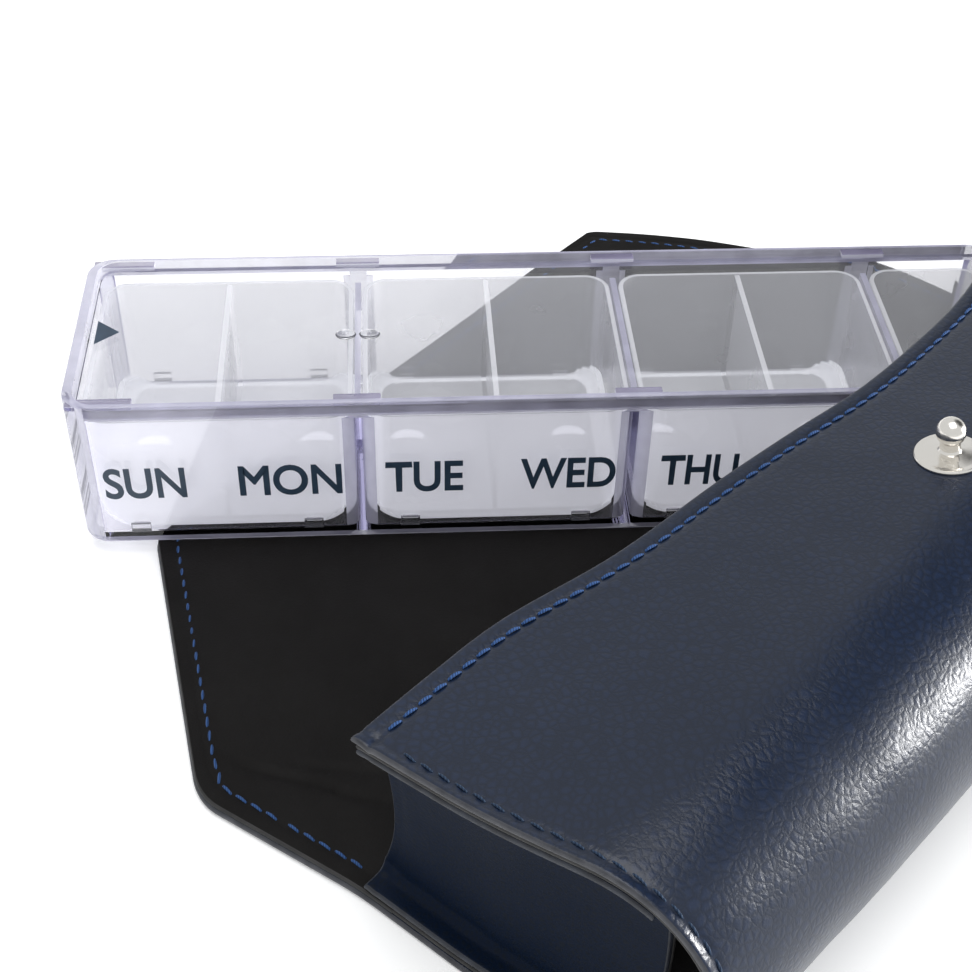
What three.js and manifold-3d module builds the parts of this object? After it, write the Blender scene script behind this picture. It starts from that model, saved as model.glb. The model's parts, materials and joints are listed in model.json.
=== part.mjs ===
// Weekly travel pill organizer: a clear seven-day box with a sliding lid and lift-in liners,
// lying on the open flap of its navy leather case, with one end slipped into the case's mouth.
// Millimetres, +Z up. X runs along the pill box. The origin is the bottom centre of the whole object.

import * as THREE from 'three';
import { mergeVertices } from 'three/addons/utils/BufferGeometryUtils.js';
import Module from 'manifold-3d';

const wasm = await Module();
wasm.setup();

// ---------------------------------------------------------------- driving dimensions
const GAP = 0.3; // clearance between two pieces that touch

// pill box
const DAY = 22.5; // width of one day along the box
const DAYS_PER_BAY = [2, 2, 2, 1]; // SUN MON, TUE WED, THU FRI, SAT
const BOX_DEPTH = 41.7;
const BOX_HEIGHT = 29.2;
const LEFT_WALL = 1.7;
const RIGHT_WALL = 1.2;
const SIDE_WALL = 1.8;
const BOX_FLOOR = 1.5;
const BOX_CORNER = 4.5; // plan radius of the four corners
const BOX_EDGE = 0.9; // rounding of the bottom and top edges
const BAY_CORNER = 2.5; // plan radius inside the box
const DIVIDER = 1.0;
const DIVIDER_TOP = 25.2;
const DIVIDER_NOTCH = { width: 2.4, depth: 6 }; // where each divider clears the back wall

// sliding lid and the rails that hold it
const LEDGE = 26.0; // height of the ledge that the lid slides on
const GROOVE = 0.9; // wall left outside the lid
const LID = 1.6;
const LIP = { height: 1.0, below: 0.2, reach: 2.6, length: 7.6, corner: 11.3 };
const BUMP = { length: 3.6, width: 2.6, depth: 0.7, spacing: 4.0 };

// liners
const TRAY_FLOOR = 1.2;
const TRAY_WALL = 0.8;
const TRAY_TOP = 24.9;
const TRAY_CORNER = 4.2;
const TRAY_EDGE = 0.5;
const TRAY_SIDE_GAP = 0.75; // room at the front and back for the snap tabs
const TAB = { width: 2.6, height: 0.9, out: 0.4, above: 0.6 }; // above the liner's underside
const DISH = { radius: 3.3, depth: 0.5, fromBayEnd: 8.1, fromFront: 22.2 };

// leather case, in its own frame: X along the mouth, Y from the mouth out over the flap
const CASE_ANGLE = 47.5; // degrees between the pill box and the case
const CASE_MOUTH = [107.8, -2.5]; // middle of the mouth, in the pill box's frame
const CASE_HALF = 91.5; // half the case's length
const CASE_DEPTH = 58.5; // from the mouth to the outside of the bottom fold
const LEATHER = 1.2;
const LINING = 0.5;
const SKIN = LEATHER + GAP + LINING; // a whole wall of the case
const HEADROOM = 0.8; // over the pill box, under the front panel at the mouth
const FOLD_RADIUS = 20; // the bottom fold stands higher than the mouth
const CUT = { kink: 65, kinkDepth: 1.9, depth: 16.4 }; // thumb cut in the front panel
const GUSSET = { inset: 5, dip: 2, rear: 44 }; // the fold stays open behind the gussets
const FLAP_SPLIT = 0.15; // half the gap at each fold line of the flap
const FLAP_WIDE = { half: 95, at: 28.6 };
const FLAP_END = { half: 61.6, at: 74.2, corner: 5 };

// ball stud and keyhole
const STUD_FROM_MOUTH = 34.5; // along the front panel
const STUD = { base: 5.1, baseHeight: 0.8, neck: 1.5, neckHeight: 2.2, ball: 2.2, bore: 1.0, boreDepth: 2.0 };
const SCREW = { head: 4, headHeight: 0.4, shank: 0.7, length: 1.6 };
const KEYHOLE = { radius: 3.0, slit: 6.5, slitWidth: 1.0 };

// stitching
const THREAD = { width: 0.7, height: 0.35, inset: 2.8, endGap: 1.5 };

const CLEAR = 5; // how far a cutting shape stands past what it cuts

// ---------------------------------------------------------------- worked-out places
const BOX_Z = SKIN + GAP; // the pill box stands on the flap's lining
const MOUTH_TOP = BOX_Z + BOX_HEIGHT + HEADROOM + SKIN;
const bayStarts = [];
let boxLength = LEFT_WALL;
for (const days of DAYS_PER_BAY) {
  bayStarts.push(boxLength);
  boxLength += days * DAY;
}
boxLength += RIGHT_WALL - DIVIDER / 2;
const dividerPlaces = bayStarts.slice(1);
const FOLD_SPINE = MOUTH_TOP - SKIN + 2 * GAP + STUD.baseHeight; // from the first fold to the second
const KEYHOLE_AT = FOLD_SPINE + STUD_FROM_MOUTH;

// the front panel runs straight from the mouth and meets the round bottom fold at a tangent
const foldCentre = { y: FOLD_RADIUS - CASE_DEPTH, z: FOLD_RADIUS };
const mouthToCentre = Math.hypot(foldCentre.y, MOUTH_TOP - foldCentre.z);
const mouthDirection = Math.atan2(MOUTH_TOP - foldCentre.z, -foldCentre.y);
const TANGENT = mouthDirection + Math.acos(FOLD_RADIUS / mouthToCentre); // the way the front panel faces
const PANEL_TILT = Math.PI / 2 - TANGENT;
const PANEL_LENGTH = Math.sqrt(mouthToCentre ** 2 - FOLD_RADIUS ** 2);

// ---------------------------------------------------------------- shape helpers
function solidOf(geometry) {
  const bare = geometry.index ? geometry.toNonIndexed() : geometry.clone();
  bare.deleteAttribute('normal');
  bare.deleteAttribute('uv');
  const merged = mergeVertices(bare, 1e-5);
  const mesh = new wasm.Mesh({
    numProp: 3,
    vertProperties: new Float32Array(merged.attributes.position.array),
    triVerts: new Uint32Array(merged.index.array),
  });
  return new wasm.Manifold(mesh);
}

function geometryOf(solid) {
  const mesh = solid.getMesh();
  const geometry = new THREE.BufferGeometry();
  geometry.setAttribute('position', new THREE.BufferAttribute(new Float32Array(mesh.vertProperties), 3));
  geometry.setIndex(new THREE.BufferAttribute(new Uint32Array(mesh.triVerts), 1));
  geometry.computeVertexNormals();
  return geometry;
}

function block(x0, x1, y0, y1, z0, z1) {
  const geometry = new THREE.BoxGeometry(x1 - x0, y1 - y0, z1 - z0);
  geometry.translate((x0 + x1) / 2, (y0 + y1) / 2, (z0 + z1) / 2);
  return solidOf(geometry);
}

function roundedRectangle(x0, x1, y0, y1, radius) {
  const shape = new THREE.Shape();
  shape.moveTo(x0 + radius, y0);
  shape.absarc(x1 - radius, y0 + radius, radius, -Math.PI / 2, 0);
  shape.absarc(x1 - radius, y1 - radius, radius, 0, Math.PI / 2);
  shape.absarc(x0 + radius, y1 - radius, radius, Math.PI / 2, Math.PI);
  shape.absarc(x0 + radius, y0 + radius, radius, Math.PI, Math.PI * 1.5);
  return shape;
}

// a plate of this outline between two heights
function plate(shape, z0, z1, curveSegments = 8) {
  const geometry = new THREE.ExtrudeGeometry(shape, { depth: z1 - z0, bevelEnabled: false, curveSegments });
  geometry.translate(0, 0, z0);
  return solidOf(geometry);
}

// a block with rounded upright corners and softened top and bottom edges
function softBlock(x0, x1, y0, y1, z0, z1, radius, edge) {
  const shape = roundedRectangle(x0 + edge, x1 - edge, y0 + edge, y1 - edge, radius - edge);
  const geometry = new THREE.ExtrudeGeometry(shape, {
    depth: z1 - z0 - 2 * edge,
    bevelThickness: edge,
    bevelSize: edge,
    bevelSegments: 3,
    curveSegments: 6,
  });
  geometry.translate(0, 0, z0 + edge);
  return solidOf(geometry);
}

function turned(points, segments = 24) {
  const geometry = new THREE.LatheGeometry(points.map(([r, z]) => new THREE.Vector2(r, z)), segments);
  geometry.rotateX(Math.PI / 2);
  return solidOf(geometry);
}

function upright(x, y, radius, z0, z1, segments = 24) {
  const geometry = new THREE.CylinderGeometry(radius, radius, z1 - z0, segments);
  geometry.rotateX(Math.PI / 2);
  geometry.translate(x, y, (z0 + z1) / 2);
  return solidOf(geometry);
}

// ---------------------------------------------------------------- materials and nodes
const clearPlastic = { color: 0xe6e4f2, roughness: 0.08, metalness: 0, transparent: true, opacity: 0.35 };
const frostedPlastic = { color: 0xe9eaee, roughness: 0.45, metalness: 0, transparent: true, opacity: 0.6 };
const navyLeather = { color: 0x27344a, roughness: 0.5, metalness: 0 };
const blackLining = { color: 0x1b1a1b, roughness: 0.65, metalness: 0 };
const blueThread = { color: 0x3c64a0, roughness: 0.6, metalness: 0 };
const nickel = { color: 0xd8d4cc, roughness: 0.2, metalness: 1 };

function node(name, solid, look) {
  const mesh = new THREE.Mesh(geometryOf(solid), new THREE.MeshStandardMaterial(look));
  mesh.name = name;
  return mesh;
}

// ---------------------------------------------------------------- pill box
function pillCase() {
  const top = BOX_HEIGHT;
  const back = BOX_DEPTH;
  const skirt = GROOVE;
  let solid = softBlock(0, boxLength, 0, back, 0, top, BOX_CORNER, BOX_EDGE);
  const inner = roundedRectangle(LEFT_WALL, boxLength - RIGHT_WALL, SIDE_WALL, back - SIDE_WALL, BAY_CORNER);
  solid = solid.subtract(plate(inner, BOX_FLOOR, top + CLEAR, 6));
  // the groove for the lid is open at the right-hand end
  const groove = roundedRectangle(LEFT_WALL, boxLength + BOX_DEPTH, skirt, back - skirt, BOX_CORNER - skirt);
  solid = solid.subtract(plate(groove, LEDGE, top + CLEAR, 6));
  // dividers between the bays, notched at the back wall
  for (const x of dividerPlaces) {
    const rooted = SIDE_WALL / 2; // into the walls and the floor
    const wall = block(x - DIVIDER / 2, x + DIVIDER / 2, rooted, back - rooted, BOX_FLOOR / 2, DIVIDER_TOP);
    const notchFront = back - SIDE_WALL - DIVIDER_NOTCH.width;
    const notchFloor = DIVIDER_TOP - DIVIDER_NOTCH.depth;
    const notch = block(x - DIVIDER, x + DIVIDER, notchFront, back - SIDE_WALL, notchFloor, top);
    solid = solid.add(wall.subtract(notch));
  }
  // lips over the lid: short lengths centred on the dividers, and longer ones at the left corners
  const lips = dividerPlaces.map((x) => [x - LIP.length / 2, x + LIP.length / 2]);
  lips.push([LEFT_WALL / 2, LIP.corner]);
  for (const [x0, x1] of lips) {
    const z0 = top - LIP.height;
    const z1 = top - LIP.below;
    solid = solid.add(block(x0, x1, GROOVE / 2, LIP.reach, z0, z1));
    solid = solid.add(block(x0, x1, back - LIP.reach, back - GROOVE / 2, z0, z1));
  }
  return solid;
}

function slidingLid() {
  const z0 = LEDGE + GAP;
  const side = GROOVE + GAP;
  const left = LEFT_WALL + GAP;
  const outline = roundedRectangle(left, boxLength, side, BOX_DEPTH - side, BOX_CORNER - side);
  let solid = plate(outline, z0, z0 + LID, 6);
  for (const way of [-1, 1]) {
    const bump = new THREE.SphereGeometry(1, 12, 8);
    bump.scale(BUMP.length / 2, BUMP.width / 2, BUMP.depth);
    bump.translate(dividerPlaces[0] + (way * BUMP.spacing) / 2, BOX_DEPTH / 2, z0);
    solid = solid.add(solidOf(bump));
  }
  return solid;
}

function tray(start, days) {
  const x0 = start + DIVIDER / 2 + GAP;
  const x1 = start + days * DAY - DIVIDER / 2 - GAP;
  const y0 = SIDE_WALL + TRAY_SIDE_GAP;
  const y1 = BOX_DEPTH - SIDE_WALL - TRAY_SIDE_GAP;
  const z0 = BOX_FLOOR + GAP;
  const wall = TRAY_WALL;
  const corner = TRAY_CORNER;
  let solid = softBlock(x0, x1, y0, y1, z0, TRAY_TOP, corner, TRAY_EDGE);
  for (let day = 0; day < days; day += 1) {
    const c0 = day === 0 ? x0 + wall : start + day * DAY + DIVIDER / 2;
    const c1 = day === days - 1 ? x1 - wall : start + (day + 1) * DAY - DIVIDER / 2;
    const room = roundedRectangle(c0, c1, y0 + wall, y1 - wall, corner - wall);
    solid = solid.subtract(plate(room, z0 + TRAY_FLOOR, TRAY_TOP + CLEAR, 5));
    // half-moon finger dish in the floor, nearer the bay's outer end
    const dishX = day === 0 ? start + DISH.fromBayEnd : start + days * DAY - DISH.fromBayEnd;
    const dishY = DISH.fromFront;
    const dishFloor = z0 + TRAY_FLOOR - DISH.depth;
    const round = upright(dishX, dishY, DISH.radius, dishFloor, z0 + TRAY_FLOOR + CLEAR, 20);
    const backHalf = block(dishX - CLEAR, dishX + CLEAR, dishY, dishY + CLEAR, 0, TRAY_TOP);
    solid = solid.subtract(round.intersect(backHalf));
    // snap tabs low on the front and back faces
    const tabLow = z0 + TAB.above;
    for (const y of [y0, y1]) {
      const [xa, xb] = [dishX - TAB.width / 2, dishX + TAB.width / 2];
      solid = solid.add(block(xa, xb, y - TAB.out, y + TAB.out, tabLow, tabLow + TAB.height));
    }
  }
  return solid;
}

function organizer() {
  const group = new THREE.Group();
  group.add(node('pill_case', pillCase(), clearPlastic));
  group.add(node('sliding_lid', slidingLid(), clearPlastic));
  const names = ['tray_sun_mon', 'tray_tue_wed', 'tray_thu_fri', 'tray_sat'];
  names.forEach((name, i) => group.add(node(name, tray(bayStarts[i], DAYS_PER_BAY[i]), frostedPlastic)));
  group.position.set(0, 0, BOX_Z);
  return group;
}

// ---------------------------------------------------------------- leather case
// a point given along the front panel and out from its face, in the case's side view
function panelPoint(along, out) {
  const y = along * Math.cos(PANEL_TILT) + out * Math.sin(PANEL_TILT);
  const z = MOUTH_TOP - along * Math.sin(PANEL_TILT) + out * Math.cos(PANEL_TILT);
  return [y, z];
}

// moves a solid made on a flat face at height 0 onto the tilted front panel
function onFrontPanel(solid) {
  return solid.rotate([-THREE.MathUtils.radToDeg(PANEL_TILT), 0, 0]).translate([0, 0, MOUTH_TOP]);
}

// side view of the case's wall between two depths below its outer face: back panel, bottom fold, front panel
function wallProfile(near, far) {
  const { y, z } = foldCentre;
  const shape = new THREE.Shape();
  shape.moveTo(-FLAP_SPLIT, near);
  shape.absarc(y, z, FOLD_RADIUS - near, -Math.PI / 2, TANGENT - 2 * Math.PI, true);
  shape.lineTo(...panelPoint(-GAP, -near));
  shape.lineTo(...panelPoint(-GAP, -far));
  shape.absarc(y, z, FOLD_RADIUS - far, TANGENT, Math.PI * 1.5, false);
  shape.lineTo(-FLAP_SPLIT, far);
  return shape;
}

// extrudes a side view, drawn in Y and Z, along X
function alongCase(shape, x0, x1, curveSegments = 24) {
  const geometry = new THREE.ExtrudeGeometry(shape, { depth: x1 - x0, bevelEnabled: false, curveSegments });
  geometry.rotateX(Math.PI / 2);
  geometry.rotateZ(Math.PI / 2);
  geometry.translate(x0, 0, 0);
  return solidOf(geometry);
}

// the thumb cut: everything in front of the front panel's opening edge, moved back by an inset
function mouthCut(inset = 0) {
  const { kink, kinkDepth, depth } = CUT;
  const rise = depth - kinkDepth;
  const radius = (kink * kink + rise * rise) / (2 * rise);
  const centre = -depth + radius;
  const half = Math.asin(kink / radius);
  const edge = -GAP - inset;
  const shape = new THREE.Shape();
  shape.moveTo(-CASE_HALF - CLEAR, CLEAR);
  shape.lineTo(-CASE_HALF - CLEAR, edge);
  shape.lineTo(-CASE_HALF, edge);
  shape.absarc(0, centre - inset, radius, -Math.PI / 2 - half, -Math.PI / 2 + half, false);
  shape.lineTo(CASE_HALF, edge);
  shape.lineTo(CASE_HALF + CLEAR, edge);
  shape.lineTo(CASE_HALF + CLEAR, CLEAR);
  return shape;
}

function caseWall(near, far) {
  const wall = alongCase(wallProfile(near, far), -CASE_HALF, CASE_HALF);
  const cut = plate(mouthCut(), -CLEAR, CLEAR, 16);
  const bore = upright(0, -STUD_FROM_MOUTH, STUD.bore, -CLEAR, CLEAR, 16);
  return wall.subtract(onFrontPanel(cut.add(bore)));
}

// the inside of the case as seen from its end, shrunk by an inset and ending at a distance ahead of the mouth
function endOutline(inset, ahead = -GAP) {
  const { y, z } = foldCentre;
  const shape = new THREE.Shape();
  shape.moveTo(ahead, inset);
  shape.lineTo(...panelPoint(ahead, -inset));
  shape.absarc(y, z, FOLD_RADIUS - inset, TANGENT, Math.PI * 1.5, false);
  return shape;
}

// what a gusset leaves open: a dip in its mouth edge between the two panels, and the bottom fold behind it
function gussetOpening() {
  const height = MOUTH_TOP / 2 - SKIN;
  const radius = (height * height + GUSSET.dip * GUSSET.dip) / (2 * GUSSET.dip);
  const geometry = new THREE.CylinderGeometry(radius, radius, 4 * CASE_HALF, 96);
  geometry.rotateZ(Math.PI / 2);
  geometry.translate(0, radius - GUSSET.dip - GAP, MOUTH_TOP / 2);
  const fold = block(0, 2 * CASE_HALF, -2 * CASE_DEPTH, -GUSSET.rear, -CLEAR, 2 * MOUTH_TOP);
  return [solidOf(geometry), fold];
}

function sided(solid, side) {
  return side > 0 ? solid : solid.mirror([1, 0, 0]);
}

function gussetLeather(side) {
  const outer = SKIN + GAP;
  const x = CASE_HALF - GUSSET.inset;
  const [dip, fold] = gussetOpening();
  const web = alongCase(endOutline(outer), x, x + LEATHER);
  const tube = alongCase(endOutline(outer), x, CASE_HALF - GAP);
  const core = alongCase(endOutline(outer + LEATHER, CLEAR), x - CLEAR, CASE_HALF + CLEAR);
  return sided(web.subtract(dip).add(tube.subtract(core)).subtract(fold), side);
}

function gussetLining(side) {
  const x = CASE_HALF - GUSSET.inset - GAP - LINING;
  const [dip, fold] = gussetOpening();
  return sided(alongCase(endOutline(SKIN + GAP), x, x + LINING).subtract(dip).subtract(fold), side);
}

// half the flap's width at a distance from the mouth
function flapHalf(y) {
  if (y <= FLAP_WIDE.at) {
    return CASE_HALF + ((FLAP_WIDE.half - CASE_HALF) * y) / FLAP_WIDE.at;
  }
  const taper = (FLAP_END.half - FLAP_WIDE.half) / (FLAP_END.at - FLAP_WIDE.at);
  return FLAP_WIDE.half + taper * (y - FLAP_WIDE.at);
}

function flapSpineOutline() {
  const y0 = FLAP_SPLIT;
  const y1 = FOLD_SPINE - FLAP_SPLIT;
  const shape = new THREE.Shape();
  shape.moveTo(-flapHalf(y0), y0);
  shape.lineTo(flapHalf(y0), y0);
  shape.lineTo(FLAP_WIDE.half, FLAP_WIDE.at);
  shape.lineTo(flapHalf(y1), y1);
  shape.lineTo(-flapHalf(y1), y1);
  shape.lineTo(-FLAP_WIDE.half, FLAP_WIDE.at);
  return shape;
}

function flapCoverOutline() {
  const y0 = FOLD_SPINE + FLAP_SPLIT;
  const { half, at, corner } = FLAP_END;
  const before = at - corner;
  const shape = new THREE.Shape();
  shape.moveTo(-flapHalf(y0), y0);
  shape.lineTo(flapHalf(y0), y0);
  shape.lineTo(flapHalf(before), before);
  shape.quadraticCurveTo(half, at, half - corner, at);
  shape.lineTo(corner - half, at);
  shape.quadraticCurveTo(-half, at, -flapHalf(before), before);
  return shape;
}

function flapCover(z0, z1) {
  const slitStart = KEYHOLE_AT - KEYHOLE.slit;
  const half = KEYHOLE.slitWidth / 2;
  const hole = upright(0, KEYHOLE_AT, KEYHOLE.radius, z0 - CLEAR, z1 + CLEAR, 20);
  const slit = block(-half, half, slitStart, KEYHOLE_AT, z0 - CLEAR, z1 + CLEAR);
  return plate(flapCoverOutline(), z0, z1).subtract(hole.add(slit));
}

// a ball stud on a disc, hollow below for its screw
function stud() {
  const { base, baseHeight, neck, neckHeight, ball, bore, boreDepth } = STUD;
  const collar = Math.acos(neck / ball); // where the neck meets the ball
  const ballZ = baseHeight + neckHeight + ball * Math.sin(collar);
  const points = [[0, boreDepth], [bore, boreDepth], [bore, 0], [base, 0]];
  points.push([base, baseHeight / 2], [base * 0.9, baseHeight], [neck * 1.5, baseHeight]);
  points.push([neck, baseHeight + neckHeight / 4]);
  const steps = 8;
  for (let i = 0; i < steps; i += 1) {
    const angle = -collar + ((Math.PI / 2 + collar) * i) / steps;
    points.push([ball * Math.cos(angle), ballZ + ball * Math.sin(angle)]);
  }
  points.push([0, ballZ + ball]);
  return onFrontPanel(turned(points).translate([0, -STUD_FROM_MOUTH, GAP]));
}

function studScrew() {
  const { head, headHeight, shank, length } = SCREW;
  const seat = -SKIN - GAP;
  const points = [[0, seat - headHeight], [head, seat - headHeight], [head, seat], [shank, seat]];
  points.push([shank, GAP + length], [0, GAP + length]);
  return onFrontPanel(turned(points, 20).translate([0, -STUD_FROM_MOUTH, 0]));
}

// a thread lying on the front panel along its opening edge
function mouthStitching() {
  const { width, height, inset, endGap } = THREAD;
  const ahead = plate(mouthCut(inset + width), GAP, GAP + height, 16);
  const behind = plate(mouthCut(inset), 0, GAP + height + CLEAR, 16);
  const half = CASE_HALF - inset - endGap;
  const span = block(-half, half, -CASE_DEPTH, 0, GAP, GAP + height);
  return onFrontPanel(ahead.subtract(behind).intersect(span));
}

// a thread along the seam between the front panel and a gusset
function seamStitching(side) {
  const { width, height, inset, endGap } = THREAD;
  const outer = CASE_HALF - inset;
  const strip = block(outer - width, outer, -PANEL_LENGTH, -GAP - inset - endGap, GAP, GAP + height);
  return onFrontPanel(sided(strip, side));
}

function leatherCase() {
  const group = new THREE.Group();
  const lining = LEATHER + GAP;
  group.add(node('case_leather', caseWall(0, LEATHER), navyLeather));
  group.add(node('case_lining', caseWall(lining, SKIN), blackLining));
  for (const [name, side] of [['left', -1], ['right', 1]]) {
    group.add(node(`${name}_gusset_leather`, gussetLeather(side), navyLeather));
    group.add(node(`${name}_gusset_lining`, gussetLining(side), blackLining));
    group.add(node(`${name}_seam_stitching`, seamStitching(side), blueThread));
  }
  group.add(node('mouth_stitching', mouthStitching(), blueThread));
  group.add(node('flap_spine_leather', plate(flapSpineOutline(), 0, LEATHER), navyLeather));
  group.add(node('flap_spine_lining', plate(flapSpineOutline(), lining, SKIN), blackLining));
  group.add(node('flap_cover_leather', flapCover(0, LEATHER), navyLeather));
  group.add(node('flap_cover_lining', flapCover(lining, SKIN), blackLining));
  group.add(node('ball_stud', stud(), nickel));
  group.add(node('stud_screw', studScrew(), nickel));
  group.rotation.z = THREE.MathUtils.degToRad(CASE_ANGLE);
  group.position.set(CASE_MOUTH[0], CASE_MOUTH[1], 0);
  return group;
}

// ---------------------------------------------------------------- the whole object
const whole = new THREE.Group();
whole.add(organizer(), leatherCase());
whole.updateMatrixWorld(true);
const extent = new THREE.Box3();
whole.traverse((child) => {
  if (child.isMesh) {
    extent.expandByObject(child, true);
  }
});
const middle = extent.getCenter(new THREE.Vector3());
for (const child of whole.children) {
  child.position.x -= middle.x;
  child.position.y -= middle.y;
}

export default whole;
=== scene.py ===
"""Looks of the travel pill organizer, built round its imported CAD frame.

Lengths below are in millimetres. Box pieces are drawn in the pill box's own frame (X along it, Y from
its front face to its back, Z up from its underside), case pieces in the case's own frame (X along the
mouth, Y from the mouth out over the flap, Z up from the table). Both are placed from the CAD frame.
"""

import json
import math

import bmesh
import bpy
import numpy as np
from mathutils import Euler, Matrix, Vector, noise


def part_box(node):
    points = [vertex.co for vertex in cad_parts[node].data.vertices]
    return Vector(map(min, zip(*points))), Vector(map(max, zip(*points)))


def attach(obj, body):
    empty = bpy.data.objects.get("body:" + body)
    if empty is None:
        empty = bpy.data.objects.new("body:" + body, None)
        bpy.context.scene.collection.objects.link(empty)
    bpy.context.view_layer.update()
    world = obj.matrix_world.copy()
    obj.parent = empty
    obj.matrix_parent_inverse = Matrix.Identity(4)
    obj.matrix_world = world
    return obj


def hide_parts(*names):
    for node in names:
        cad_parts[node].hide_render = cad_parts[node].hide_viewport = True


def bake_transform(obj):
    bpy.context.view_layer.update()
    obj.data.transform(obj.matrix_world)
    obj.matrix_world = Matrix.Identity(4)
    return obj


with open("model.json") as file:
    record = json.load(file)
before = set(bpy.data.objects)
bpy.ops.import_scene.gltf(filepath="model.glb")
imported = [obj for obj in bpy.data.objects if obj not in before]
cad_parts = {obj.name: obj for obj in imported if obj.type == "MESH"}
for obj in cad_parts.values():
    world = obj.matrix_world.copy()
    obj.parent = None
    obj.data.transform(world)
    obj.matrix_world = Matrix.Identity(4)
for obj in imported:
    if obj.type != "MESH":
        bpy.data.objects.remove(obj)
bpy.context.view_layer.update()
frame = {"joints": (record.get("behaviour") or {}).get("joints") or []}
MM = 0.001

# ---- driving dimensions
DAY = 22.5
BAYS = (("SUN", "MON"), ("TUE", "WED"), ("THU", "FRI"), ("SAT",))
BOX_DEPTH, BOX_HEIGHT, BOX_CORNER, BOX_EDGE, BOX_BAND = 41.7, 29.2, 4.5, 0.9, 1.6
LEFT_WALL, RIGHT_WALL, SIDE_WALL, BOX_FLOOR, BAY_CORNER, ROOM_ROUND = 1.7, 1.2, 1.8, 1.5, 2.5, 0.6
DIVIDER, DIVIDER_TOP, NOTCH_WIDTH, NOTCH_DEPTH = 1.0, 25.2, 2.4, 6.0
LEDGE, GROOVE, LID, GAP = 26.0, 0.9, 1.6, 0.3
LIP_LENGTH, LIP_CORNER, LIP_REACH, LIP_HEIGHT = 7.6, 11.3, 2.6, 1.0
TRAY_FLOOR, TRAY_WALL, TRAY_TOP, TRAY_CORNER, TRAY_SIDE_GAP = 1.2, 0.8, 24.9, 4.2, 0.75
TRAY_RIB = 0.9
DISH_RADIUS, DISH_FROM_END, DISH_FROM_FRONT, DISH_INNER = 3.3, 8.1, 22.2, 0.45
TAB_WIDTH, TAB_HEIGHT, TAB_OUT, TAB_RISE = 2.6, 0.9, 0.4, 0.6
WINDOW, WINDOW_LOW, WINDOW_HIGH = 3.2, 2.05, 3.75
BUMP_SPACING, BUMP_RADII, BUMP_HEIGHT = 4.0, (1.75, 1.3), 0.63
WORD_HEIGHT, WORD_FOOT, WORD_WEIGHT = 6.6, 10.0, 0.022
WORD_SPANS = {"SUN": (5.1, 18.3), "MON": (26.9, 43.7), "TUE": (50.8, 63.6), "WED": (73.0, 88.8)}
WORD_SPANS["THU"] = (96.2, 109.2)
ARROW = (3.25, 7.1, 18.4, 24.9)

HALF = 91.5  # half the case's length at its mouth
LEATHER, SKIN = 1.2, 2.0
MOUTH_TOP = 34.3
FOLD_TAPER = 0.034  # how much narrower the leather is at the bottom fold
FOLD_RADIUS, FOLD_SWELL = 19, 1.15  # at the case's ends, and added in the middle
CASE_DEPTH, CASE_SAG = 55.5, 5  # from the mouth line to the fold's back, and added in the middle
STUD_FROM_MOUTH = 34.5
GUSSET_INSET, GUSSET_DIP, GUSSET_REAR = 5.0, 2.0, 44.0
FLAP_WIDE, FLAP_WIDE_AT = 95.0, 28.6
FLAP_END, FLAP_END_AT, FLAP_CORNER = 61.6, 74.2, 5.0
FLAP_CURL, CURL_AT, CURL_WIDE = 5.2, 35, 17
FLAP_JOIN = -6.0  # where the flap's sheet meets the back panel, inside the mouth
FOLD_SPINE = 33.7
FLAP_SPLIT = FOLD_SPINE / 2
KEYHOLE_AT, KEYHOLE_RADIUS = FOLD_SPINE + STUD_FROM_MOUTH, 2.7
KEYHOLE_SLIT, SLIT_WIDTH = 6.5, 1.0
STITCH, STITCH_GAP, THREAD, SEAM, END_SEAM = 2.1, 0.65, 0.24, 2.8, 1.8

bay_starts = [LEFT_WALL]
for days in BAYS:
    bay_starts.append(bay_starts[-1] + DAY * len(days))
DIVIDERS = bay_starts[1:-1]
BOX_LENGTH = bay_starts.pop() + RIGHT_WALL - DIVIDER / 2

# ---- places, from the frame
joints = {j["name"]: j for j in frame["joints"]}
box_low = np.array(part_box("pill_case")[0])
mouth = np.array(joints["flap_spine_fold"]["pos_m"]) * (1, 1, 0)
along = np.array(joints["flap_spine_fold"]["axis"])
CASE_AXES = np.array([along, (-along[1], along[0], 0), (0, 0, 1)])


def in_box(points):
    return box_low + np.asarray(points, float).reshape(-1, 3) * MM


def in_case(points):
    return mouth + np.asarray(points, float).reshape(-1, 3) * MM @ CASE_AXES


# ---- mesh helpers
def smoothstep(low, high, x):
    t = np.clip((np.asarray(x, float) - low) / (high - low), 0, 1)
    return t * t * (3 - 2 * t)


def ripple(points, size, seed=0.0):
    """Smooth noise between about -1 and 1 at each point, with bumps of this size."""
    shift = Vector((seed * 17.3, seed * 7.7, seed * 3.1))
    return np.array([noise.noise(Vector(p) / size + shift) for p in points])


def in_scene(name, data):
    made = bpy.data.objects.new(name, data)
    bpy.context.scene.collection.objects.link(made)
    return made


def turn_outwards(mesh, weld=0.0):
    """Turns every face outwards, once points closer than weld are joined."""
    work = bmesh.new()
    work.from_mesh(mesh)
    if weld:
        bmesh.ops.remove_doubles(work, verts=work.verts, dist=weld)
    bmesh.ops.recalc_face_normals(work, faces=work.faces)
    work.to_mesh(mesh)
    work.free()


def make_piece(name, points, faces, materials, place, indices=None, angle=50):
    mesh = bpy.data.meshes.new(name)
    mesh.from_pydata([tuple(p) for p in place(points)], [], faces)
    for material in materials:
        mesh.materials.append(material)
    if indices is not None:
        mesh.polygons.foreach_set("material_index", indices)
    turn_outwards(mesh)
    shade(mesh, angle)
    return in_scene(name, mesh)


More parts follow.
